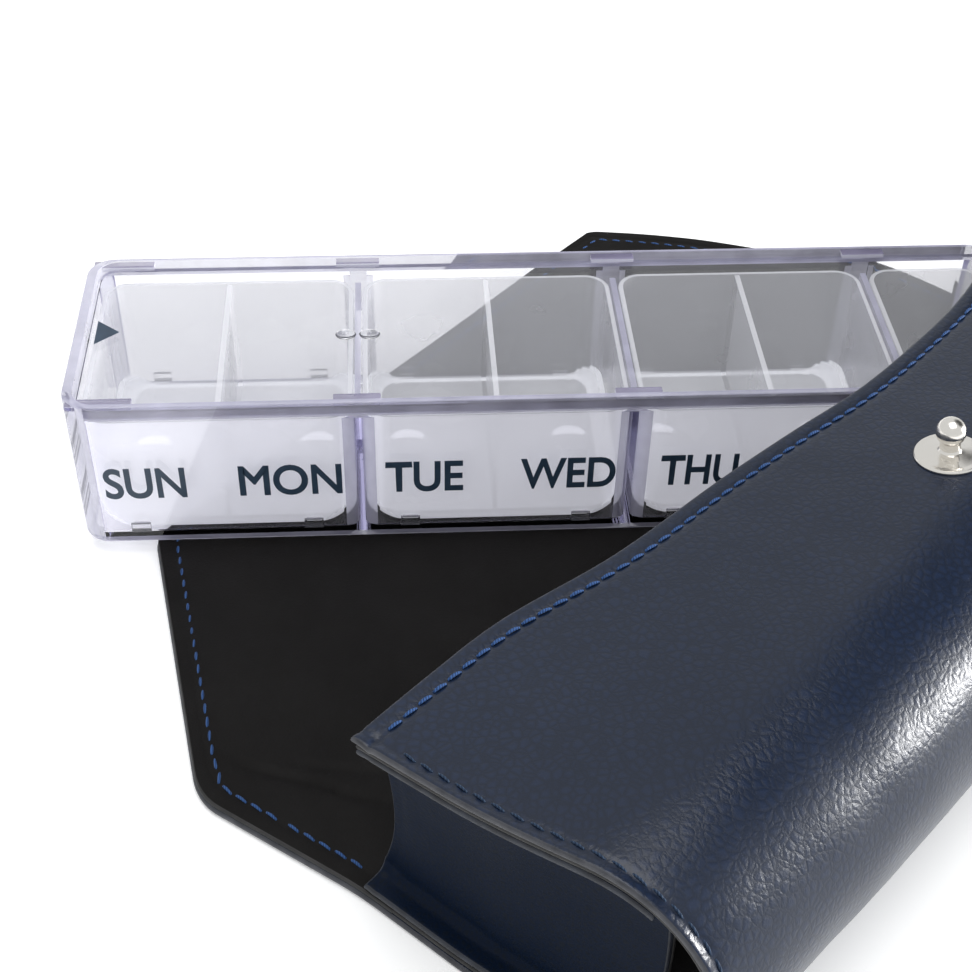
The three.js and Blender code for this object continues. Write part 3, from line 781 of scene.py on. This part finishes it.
def make_flap():
    for name, y0, y1, before, after, fold in FLAP_PARTS:
        last = name == "cover"
        square = (0,) if last else (0, 1)
        grid = flap_grid(y0, y1, fine_end=last)
        under = sheet(f"flap_{name}_skin", grid, LEATHER, LEATHER, (leather, rim), 0.0, square)
        top_grid = flap_grid(y0, y1, 0.3, SKIN, fine_end=last)
        edge = np.minimum(*side_distances(top_grid)[2:])
        if last:
            edge = np.minimum(edge, side_distances(top_grid)[1])
        relief = soft_relief(top_grid, 0.12, 0.06, 11) - 0.1
        relief -= 0.12 * np.exp(-(((edge - SEAM) / 0.5) ** 2))
        relief += crease(top_grid, (-76, 2), (-88, 33), 0.6, 0.5, 1.6, 21)
        relief += crease(top_grid, (-70, 3), (-83, 24), 0.45, 0.45, 1.3, 22)
        upper = sheet(f"flap_{name}_cloth", top_grid, 0.0, SKIN - LEATHER - 0.02, (lining, lining_rim),
                      relief, square)
        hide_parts(f"flap_{name}_leather")
        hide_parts(f"flap_{name}_lining")
        if last:
            for made in (under, upper):
                hole = lathe("hole", [(0, -1), (KEYHOLE_RADIUS, -1), (KEYHOLE_RADIUS, 4), (0, 4)], (rim,),
                             lambda p: in_case(np.asarray(p) + (0, KEYHOLE_AT, 0)), 40)
                slit = block("slit", -SLIT_WIDTH / 2, SLIT_WIDTH / 2, KEYHOLE_AT - KEYHOLE_SLIT, KEYHOLE_AT,
                             -1, 4, (rim,), in_case)
                combined(made, (hole, slit), "DIFFERENCE", 60)
        for made in (under, upper):
            bend_flap(made)


def bend_flap(made):
    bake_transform(made)


# ---- stitching
def walk(path):
    """Pairs of points a stitch apart along a path, with the gaps between stitches left out."""
    path = np.asarray(path, float)
    run = np.concatenate([[0], np.linalg.norm(np.diff(path, axis=0), axis=1).cumsum()])
    starts = np.arange(0, run[-1] - STITCH, STITCH + STITCH_GAP)

    def at(distance):
        return np.array([np.interp(distance, run, path[:, k]) for k in range(3)])

    return [(at(start), at(start + STITCH)) for start in starts]


def stitches(name, path, up, seed=1.0, material=None):
    """Separate stitches along a path; up gives the outward direction at a point."""
    points, faces = [], []
    steps, ring = 7, 8
    thick = THREAD if material is None else 0.75 * THREAD
    for number, (a, b) in enumerate(walk(path)):
        out = np.array(up((a + b) / 2), float)
        run = (b - a) / np.linalg.norm(b - a)
        side = np.cross(run, out)
        sway = 0.13 + 0.05 * noise.noise(Vector((number * 3.7, seed, 0)))
        start = len(points)
        for k in range(steps):
            t = k / (steps - 1)
            round_end = math.sin(math.pi * min(max(t, 0.04), 0.96)) ** 0.45
            centre = a + (b - a) * t + side * sway * (2 * t - 1) + out * (0.34 * round_end - 0.32)
            for i in range(ring):
                turn = 2 * math.pi * i / ring
                reach = thick * (0.55 + 0.45 * round_end)
                points.append(centre + reach * (side * math.cos(turn) + out * math.sin(turn)))
            if k:
                faces += band(start + (k - 1) * ring, start + k * ring, ring)
        faces.append(tuple(range(start, start + ring)))
        faces.append(tuple(range(start + (steps - 1) * ring, start + steps * ring)))
    made = make_piece(name, points, faces, (material or thread,), in_case, angle=80)
    return made


def panel_up(point):
    angle, _ = front_tilt(point[0])
    return (0, math.cos(angle), math.sin(angle))


def fold_up(point):
    centre, radius = fold_circle(point[0])
    angle, _ = front_tilt(point[0])
    turn = math.atan2(point[2] - radius, point[1] - centre)
    if point[1] > centre + radius * math.cos(angle):
        return panel_up(point)
    return (0, math.cos(turn), math.sin(turn))


def make_stitching():
    x = np.linspace(-HALF + SEAM + 1.2, HALF - SEAM - 1.2, 240)
    mouth_path = front_point(x, smooth_curve(x, OPENING_EDGE) + SEAM)
    mouth_line = stitches("mouth_seam_thread", mouth_path, panel_up)
    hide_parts("mouth_stitching")
    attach(mouth_line, "leather_case")
    grid = wall_grid(HALF, 0.0)
    column = int(np.argmin(np.abs(spaced(-HALF, HALF, 104) + HALF - END_SEAM)))
    for side, name in ((-1, "left"), (1, "right")):
        path = grid[32:-12, column if side < 0 else -1 - column]
        seam = stitches(f"{name}_seam_thread", path, fold_up, 2.0 + side, dull_thread)
        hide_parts(f"{name}_seam_stitching")
        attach(seam, "leather_case")
    for name, y0, y1, before, after, fold in FLAP_PARTS:
        y = np.linspace(max(y0, 2.0), min(y1, FLAP_END_AT - SEAM - 0.6), 60)
        lean = 1 + 0.24 * (y > FLAP_WIDE_AT)
        left = np.stack([-flap_half(y, -1) + (SEAM + 0.6) * lean, y, 0 * y + SKIN], axis=-1)
        right = np.stack([flap_half(y, 1) - (SEAM + 0.6) * lean, y, 0 * y + SKIN], axis=-1)
        paths = [left, right]
        if name == "cover":
            paths = [np.concatenate([left, right[::-1]])]
        for number, path in enumerate(paths):
            path[:, 2] += flap_lift(path) - 0.16
            line = stitches(f"flap_{name}_thread_{number}", path, lambda p: (0, 0, 1), 7.0 + number)
            bend_flap(line)


# ---- the stud
def arc(radius, centre, start, end, steps):
    turns = [math.radians(start + (end - start) * i / steps) for i in range(steps + 1)]
    return [(radius * math.cos(a), centre + radius * math.sin(a)) for a in turns]


def make_stud():
    angle, _ = front_tilt(0.0)
    base = front_point(np.float64(0), STUD_FROM_MOUTH)
    tilt = Euler((angle - math.pi / 2, 0, 0)).to_matrix()

    def on_panel(points):
        return in_case([base + np.array(tilt @ Vector(p)) for p in points])

    profile = [(0, 0.0), (5.0, 0.0), (5.1, 0.12), (5.1, 0.34), (4.98, 0.52), (4.75, 0.6), (4.4, 0.56)]
    profile += [(4.0, 0.58), (3.2, 0.82), (2.3, 1.0), (1.75, 1.15), (1.52, 1.5), (1.5, 2.2), (1.56, 2.6)]
    profile += arc(2.2, 4.25, -42, 90, 22)[:-1] + [(0, 6.45)]
    ball = lathe("stud_body", profile, (nickel,), on_panel, 72, 30)
    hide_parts("ball_stud")
    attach(ball, "leather_case")


# ---- the pill box
def quarter(steps):
    """(way still to go in, way climbed) along a quarter circle, as parts of its radius."""
    turns = [math.radians(90 * i / steps) for i in range(steps + 1)]
    return [(1 - math.sin(a), 1 - math.cos(a)) for a in turns]


def cradle(name, bounds, z0, z1, radius, turn, edge, rim_round=0.0, steps=9, line_at=None, look=frosted):
    """Upright walls on a bottom that turns up in one curve at both ends and in another along the sides.
    line_at is the height of a ring of mesh edges round the walls."""
    x0, x1, y0, y1 = bounds

    def loop(end_inset, side_inset, z):
        front, back = y0 + side_inset, y1 - side_inset
        return rounded_loop(x0 + end_inset, x1 - end_inset, front, back, radius - side_inset, z)

    loops = []
    for inward, climb in quarter(steps):
        rise = turn * climb
        left_over = max(edge - rise, 0)
        loops.append(loop(turn * inward, edge - math.sqrt(edge**2 - left_over**2), z0 + rise))
    if line_at is not None:
        loops.append(loop(0, 0, line_at))
    if rim_round:
        for inward, climb in quarter(4):
            loops.append(loop(rim_round * climb, rim_round * climb, z1 - rim_round * inward))
    else:
        loops.append(loop(0, 0, z1))
    return loft(name, loops, (look,), in_box)


def sort_faces(made, materials, finish):
    """Gives each face the material that finish(place in the box, normal) picks by number."""
    made.data.materials.clear()
    for material in materials:
        made.data.materials.append(material)
    for face in made.data.polygons:
        face.material_index = finish((np.array(face.center) - box_low) / MM, face.normal)


def liner_finish(place, normal):
    """Rims, floor edges, floors, front walls and their outlines are hazier than the liners' other walls.
    The front walls shine with emission as painted light; dish walls, floor edges and outlines get a painted
    highlight.
    """
    outside_front = place[1] < BOX_DEPTH / 4 and normal.y < -0.05
    if place[2] > TRAY_TOP - 0.35:
        return 2
    beyond = place[1] - DISH_FROM_FRONT
    # Number 4 is a painted highlight: the dish's curved back wall here, bottom curves and the front's
    # outlines below
    if place[2] < BOX_FLOOR + GAP + TRAY_FLOOR - 0.05 and 0 < beyond < 4:
        return 4 if beyond > DISH_RADIUS * DISH_INNER * 0.9 or abs(normal.z) < 0.9 else 1
    if place[2] < 5 and -0.93 < normal.z < -0.15:
        return 4
    if place[2] < 5 and abs(normal.z) > 0.15:
        return 1
    # Number 3 shines with emission: painted light on the front walls
    if outside_front:
        return 4 if abs(normal.x) > 0.7 else 3
    return 0


def box_finish(place, normal):
    """Edges, the thin wall beside the lid, corners and dividers of the clear box look milky with painted
    light, the lips dark with painted shade, and the rims of its tab windows show painted shadow lines."""
    x, y, z = place
    from_outside = min(x, BOX_LENGTH - x, y, BOX_DEPTH - y)
    # Number 4: the lip tops, painted dark as shade
    if normal.z > 0.4 and BOX_HEIGHT - 0.45 < z < BOX_HEIGHT - 0.1 and from_outside > GROOVE:
        return 4
    # Numbers 1 and 2 are painted light on edges, the wall beside the lid, corners and dividers
    if normal.z > 0.4 and z > 24:
        return 1
    if z < BOX_BAND and from_outside < BOX_EDGE and normal.z > -0.95:
        return 1
    beside = min(abs(x - at) for at in tab_places())
    in_window = beside < WINDOW / 2 + 0.1 and WINDOW_LOW - 0.05 < z < WINDOW_HIGH + 0.05
    # Number 3: painted shadow lines on the tab windows' rims
    if in_window and min(y, BOX_DEPTH - y) < SIDE_WALL + 0.1 and abs(normal.y) < 0.5:
        return 3
    at_divider = min(abs(x - at) for at in DIVIDERS) < 0.6
    in_notch = z > DIVIDER_TOP - NOTCH_DEPTH - 0.1
    if at_divider and z < DIVIDER_TOP and (abs(normal.x) > 0.8 or in_notch):
        return 2
    if z > LEDGE and GROOVE - 0.1 < from_outside < LIP_REACH:
        return 2
    corner = abs(normal.x) > 0.12 and abs(normal.y) > 0.12 and abs(normal.z) < 0.3
    return 2 if corner else 0


def make_box():
    back = BOX_DEPTH
    outer = (0, BOX_LENGTH, 0, back)
    tub = cradle("box_body", outer, 0, BOX_HEIGHT, BOX_CORNER, BOX_EDGE, BOX_EDGE, 0.35, steps=5,
                 line_at=BOX_BAND, look=clear)
    starts = [LEFT_WALL] + [x + DIVIDER / 2 for x in DIVIDERS]
    ends = [x - DIVIDER / 2 for x in DIVIDERS] + [BOX_LENGTH - RIGHT_WALL]
    cuts = []
    for x0, x1 in zip(starts, ends):
        bounds = (x0, x1, SIDE_WALL, back - SIDE_WALL)
        cuts.append(cradle("room", bounds, BOX_FLOOR, LEDGE + 0.5, BAY_CORNER, ROOM_ROUND, ROOM_ROUND,
                           steps=4, look=clear))
    cuts.append(block("over", LEFT_WALL + 2, BOX_LENGTH - RIGHT_WALL - 2, SIDE_WALL + 0.01,
                      back - SIDE_WALL - 0.01, DIVIDER_TOP, LEDGE + 0.4, (clear,), in_box))
    for x in DIVIDERS:
        y1 = back - SIDE_WALL + 0.02
        cuts.append(block("notch", x - 1.5, x + 1.5, y1 - NOTCH_WIDTH, y1, DIVIDER_TOP - NOTCH_DEPTH,
                          LEDGE, (clear,), in_box))
    channel = (LEFT_WALL, BOX_LENGTH + 20, GROOVE, back - GROOVE)
    loops = [inset_loop(channel, 0, z, BOX_CORNER - GROOVE) for z in (LEDGE, BOX_HEIGHT + 1)]
    cuts.append(loft("channel", loops, (clear,), in_box))
    for x in tab_places():
        for y0 in (-0.2, back - SIDE_WALL - 0.2):
            cuts.append(block("window", x - WINDOW / 2, x + WINDOW / 2, y0 + SIDE_WALL - 0.75,
                              y0 + SIDE_WALL + 0.6, WINDOW_LOW, WINDOW_HIGH, (clear,), in_box))
    combined(tub, cuts, "DIFFERENCE")
    spans = [(x - LIP_LENGTH / 2, x + LIP_LENGTH / 2) for x in DIVIDERS] + [(LEFT_WALL / 2, LIP_CORNER)]
    top = BOX_HEIGHT - 0.2
    lips = []
    for x0, x1 in spans:
        for y0, y1 in ((GROOVE / 2, LIP_REACH), (back - LIP_REACH, back - GROOVE / 2)):
            lips.append(block("lip", x0, x1, y0, y1, top - LIP_HEIGHT + 0.2, top, (clear,), in_box, 0.18))
    combined(tub, lips, "UNION")
    sort_faces(tub, (clear, painted_light_edge, painted_pale_edge, painted_shadow_edge, lip_painted_shade), box_finish)
    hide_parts("pill_case")
    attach(tub, "pill_box")


def day_places():
    """(word, middle of its compartment, finger dish place) for each day."""
    places = []
    for start, days in zip(bay_starts, BAYS):
        for k, word in enumerate(days):
            dish = start + (DISH_FROM_END if k == 0 else DAY * len(days) - DISH_FROM_END)
            places.append((word, start + DAY * (k + 0.5), dish))
    return places


def tab_places():
    return [dish for _, _, dish in day_places()]


def make_trays():
    y0 = SIDE_WALL + TRAY_SIDE_GAP
    y1 = BOX_DEPTH - y0
    z0 = BOX_FLOOR + GAP
    floor = z0 + TRAY_FLOOR
    dish_of = {day: dish for day, _, dish in day_places()}
    for start, days in zip(bay_starts, BAYS):
        x0 = start + DIVIDER / 2 + GAP
        x1 = start + DAY * len(days) - DIVIDER / 2 - GAP
        name = "_".join(day.lower() for day in days)
        made = cradle(f"liner_{name}", (x0, x1, y0, y1), z0, TRAY_TOP, TRAY_CORNER, TRAY_CORNER, 0.8, 0.3)
        inside = (x0 + TRAY_WALL, x1 - TRAY_WALL, y0 + TRAY_WALL, y1 - TRAY_WALL)
        inner_corner = TRAY_CORNER - TRAY_WALL
        room = cradle("room", inside, floor, TRAY_TOP + 1, inner_corner, inner_corner - 0.5, 0.6)
        ribs, dishes, tabs = [], [], []
        for k in range(1, len(days)):
            x = start + DAY * k
            ribs.append(block("rib", x - TRAY_RIB / 2, x + TRAY_RIB / 2, inside[2] - 1, inside[3] + 1,
                              floor - 1, TRAY_TOP - 0.2, (frosted,), in_box))
        combined(room, ribs, "DIFFERENCE")
        combined(made, [room], "DIFFERENCE")
        for day in days:
            dish = dish_of[day]
            dishes.append(finger_dish(dish, floor))
            for y in (y0, y1):
                low = z0 + TAB_RISE
                tabs.append(block("tab", dish - TAB_WIDTH / 2, dish + TAB_WIDTH / 2, y - TAB_OUT,
                                  y + TAB_OUT, low, low + TAB_HEIGHT, (frosted,), in_box, 0.1))
        combined(made, dishes, "DIFFERENCE")
        combined(made, tabs, "UNION")
        finishes = (frosted, frosted_floor, frosted_edge, frosted_front_painted_glow, frosted_painted_highlight)
        sort_faces(made, finishes, liner_finish)
        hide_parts(f"tray_{name}")
        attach(made, "pill_box")


def finger_dish(x, floor):
    """A half-moon scoop: deep along its curved back wall, and running out level towards the front."""
    points, faces = [], []
    steps = 22
    over = floor + 0.3
    for i in range(steps + 1):
        a = math.pi * i / steps
        edge = DISH_RADIUS * math.cos(a)
        depth = 0.62 * math.sin(a) ** 0.6
        beyond = DISH_RADIUS * math.sin(a)
        points.append((x + edge, DISH_FROM_FRONT + beyond, over))
        points.append((x + edge, DISH_FROM_FRONT + beyond, floor - depth))
        points.append((x + 0.94 * edge, DISH_FROM_FRONT + DISH_INNER * beyond, floor - 0.8 * depth))
    count = len(points)
    points += [(x, DISH_FROM_FRONT - 0.6, over), (x, DISH_FROM_FRONT - 0.6, floor - 0.02)]
    for i in range(steps):
        a, b = 3 * i, 3 * i + 3
        faces.append((a, b, b + 1, a + 1))
        faces.append((a + 1, b + 1, b + 2, a + 2))
        faces.append((a + 2, b + 2, count + 1))
        faces.append((a, b, count))
    for a in (0, 3 * steps):
        faces.append((a, a + 1, a + 2, count + 1, count))
    return make_piece("dish", points, faces, (frosted,), in_box)


def lid_finish(place, normal):
    """The lid's sides look milky with the painted light of the box's edges."""
    return int(abs(normal.z) < 0.3 and place[2] > LEDGE + GAP + 0.1)


def make_lid():
    side = GROOVE + GAP
    z0 = LEDGE + GAP
    bounds = (LEFT_WALL + GAP, BOX_LENGTH, side, BOX_DEPTH - side)
    radius = BOX_CORNER - side
    loops = [inset_loop(bounds, 0.15, z0, radius), inset_loop(bounds, 0, z0 + 0.15, radius)]
    loops += [inset_loop(bounds, 0, z0 + LID - 0.2, radius), inset_loop(bounds, 0.2, z0 + LID, radius)]
    made = loft("box_lid", loops, (lid_clear,), in_box)
    profile = [(0, -0.45), (0.93, -0.45)]
    profile += [(math.cos(a), BUMP_HEIGHT * math.sin(a)) for a in np.linspace(-0.2, 1.5, 9)]
    profile.append((0, BUMP_HEIGHT))
    bumps = []
    for way in (-1, 1):
        middle = (DIVIDERS[0] + way * BUMP_SPACING / 2, BOX_DEPTH / 2, z0)

        def hanging(points, middle=middle):
            return in_box(np.asarray(points) * (*BUMP_RADII, -1) + middle)

        bumps.append(lathe("bump", profile, (lid_clear,), hanging, 28))
    combined(made, bumps, "UNION")
    sort_faces(made, (lid_clear, painted_light_edge), lid_finish)
    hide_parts("sliding_lid")
    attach(made, "lid")


def flat_print(name, points, faces, place, body):
    made = make_piece(name, points, faces, (ink,), place)
    turn_outwards(made.data, 1e-6)
    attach(made, body)


def embolden(mesh, weight):
    """Moves the outlines of extruded letters outwards."""
    turn_outwards(mesh, 1e-5)
    work = bmesh.new()
    work.from_mesh(mesh)
    moves = {}
    for vertex in work.verts:
        sides = [f.normal for f in vertex.link_faces if abs(f.normal.z) < 0.5]
        out = sum(sides, Vector()).normalized() if sides else Vector()
        miter = min(out.dot(n) for n in sides) if sides else 1
        moves[vertex] = out * weight / max(miter, 0.5)
    for vertex, move in moves.items():
        vertex.co += Vector((move.x, move.y, 0))
    work.to_mesh(mesh)
    work.free()


def make_labels():
    """Day names printed on the front wall, and an arrow on the lid."""
    for word, middle, _ in day_places():
        curve = bpy.data.curves.new("word", "FONT")
        curve.body = word
        curve.extrude = 0.006
        curve.resolution_u = 6
        text = in_scene("word", curve)
        mesh = finished_mesh(text)
        bpy.data.objects.remove(text)
        embolden(mesh, WORD_WEIGHT)
        points = np.array([v.co for v in mesh.vertices])
        lowest, highest = points.min(axis=0), points.max(axis=0)
        height = WORD_HEIGHT / (highest[1] - lowest[1])
        natural = 0.78 * height * (highest[0] - lowest[0])
        x0, x1 = WORD_SPANS.get(word, (middle - natural / 2, middle + natural / 2))
        width = (x1 - x0) / (highest[0] - lowest[0])
        flat = np.stack([x0 + (points[:, 0] - lowest[0]) * width, -0.05 - points[:, 2],
                         WORD_FOOT + (points[:, 1] - lowest[1]) * height], axis=-1)
        faces = [tuple(p.vertices) for p in mesh.polygons]
        flat_print(f"day_{word.lower()}", flat, faces, in_box, "pill_box")
    x0, x1, y0, y1 = ARROW
    z = LEDGE + GAP + LID
    corners = [(x0, y0), (x1, (y0 + y1) / 2), (x0, y1)]
    points = [(x, y, z + dz) for dz in (0.02, 0.06) for x, y in corners]
    faces = [(0, 1, 2), (3, 4, 5), (0, 1, 4, 3), (1, 2, 5, 4), (2, 0, 3, 5)]
    flat_print("lid_arrow", points, faces, in_box, "lid")


make_shell()
make_gussets()
make_flap()
make_stitching()
make_stud()
make_box()
make_trays()
make_lid()
make_labels()
for slot in bpy.data.objects["stud_screw"].material_slots:
    slot.material = nickel


# ---- floor, light and camera
def white_floor():
    nodes = new_look("white_floor", Roughness=0.9, Specular_IOR_Level=0.0, Emission_Strength=0.21)
    nodes.look(Emission_Color=(1, 1, 1, 1))
    tone = nodes.ramp(nodes.noise(3.0, 3.0), 0.3, 0.7)
    colour = nodes.blend(tone, (0.93, 0.93, 0.925, 1), (0.95, 0.95, 0.945, 1))
    nodes.look(Base_Color=colour)
    return nodes.owner


FLOOR_DROP = -0.0002  # just under the leather's unevenness


def make_floor():
    size, steps = 3.0, 24
    side = np.linspace(-size, size, steps)
    grid = [(x, y, FLOOR_DROP) for y in side for x in side]
    mesh = bpy.data.meshes.new("floor")
    mesh.from_pydata(grid, [], sheet_faces(steps, steps))
    mesh.materials.append(white_floor())
    made = in_scene("floor", mesh)


def soft_box(name, place, target, size, power, colour=(1, 1, 1)):
    data = bpy.data.lights.new(name, "AREA")
    data.shape = "RECTANGLE"
    data.size, data.size_y = size
    data.energy = power
    data.color = colour
    lamp = in_scene(name, data)
    lamp.location = place
    lamp.rotation_euler = (Vector(target) - Vector(place)).to_track_quat("-Z", "Y").to_euler()


def studio_world():
    """An even white tent with a dark gap in it, up and to the right behind the object."""
    world = bpy.data.worlds.new("studio")
    nodes = Nodes(world, "Background")
    view = nodes.add("TexCoord").outputs["Generated"]
    to_gap = Vector((0.675, 0.394, 0.626)).normalized()
    facing = nodes.add("VectorMath", {0: view, 1: to_gap}, operation="DOT_PRODUCT").outputs["Value"]
    sockets = {"Value": facing, "From Min": 0.84, "From Max": 0.97, "To Min": 0.8, "To Max": 0.1}
    gap = nodes.add("MapRange", sockets, interpolation_type="SMOOTHSTEP").outputs["Result"]
    nodes.look(Strength=gap, Color=(0.97, 0.985, 1.0, 1))
    bpy.context.scene.world = world


def light_studio():
    studio_world()
    soft_box("overhead", (0.0, -0.1, 1.4), (0, 0, 0), (1.0, 1.0), 9.0)
    soft_box("right_strip", (1.0, 0.04, 0.18), (0.03, -0.05, 0.03), (0.42, 0.03), 11.0)
    bpy.context.scene.view_settings.view_transform = "Standard"


LENS = 60.22
CAMERA_AT = (53.19, -200.73, 189.93)  # in millimetres, from the pill box's low corner
CAMERA_FORWARD, CAMERA_RIGHT = (0.05265, 0.74514, -0.66483), (0.99829, -0.05612, 0.01616)


def aim_camera():
    data = bpy.data.cameras.new("camera")
    data.lens = LENS
    data.sensor_width = 36.0
    data.clip_start = 0.01
    camera = in_scene("camera", data)
    forward = Vector(CAMERA_FORWARD).normalized()
    right = Vector(CAMERA_RIGHT).normalized()
    up = right.cross(forward).normalized()
    right = forward.cross(up)
    turn = Matrix((right, up, -forward)).transposed()
    place = Vector(box_low) + Vector(CAMERA_AT) * MM
    camera.matrix_world = Matrix.Translation(place) @ turn.to_4x4()
    bpy.context.scene.camera = camera


make_floor()
light_studio()
aim_camera()
cycles = bpy.context.scene.cycles
cycles.max_bounces = 16
cycles.transmission_bounces = 16
cycles.glossy_bounces = 6
cycles.diffuse_bounces = 3
cycles.transparent_max_bounces = 32
cycles.caustics_reflective = False
cycles.caustics_refractive = False
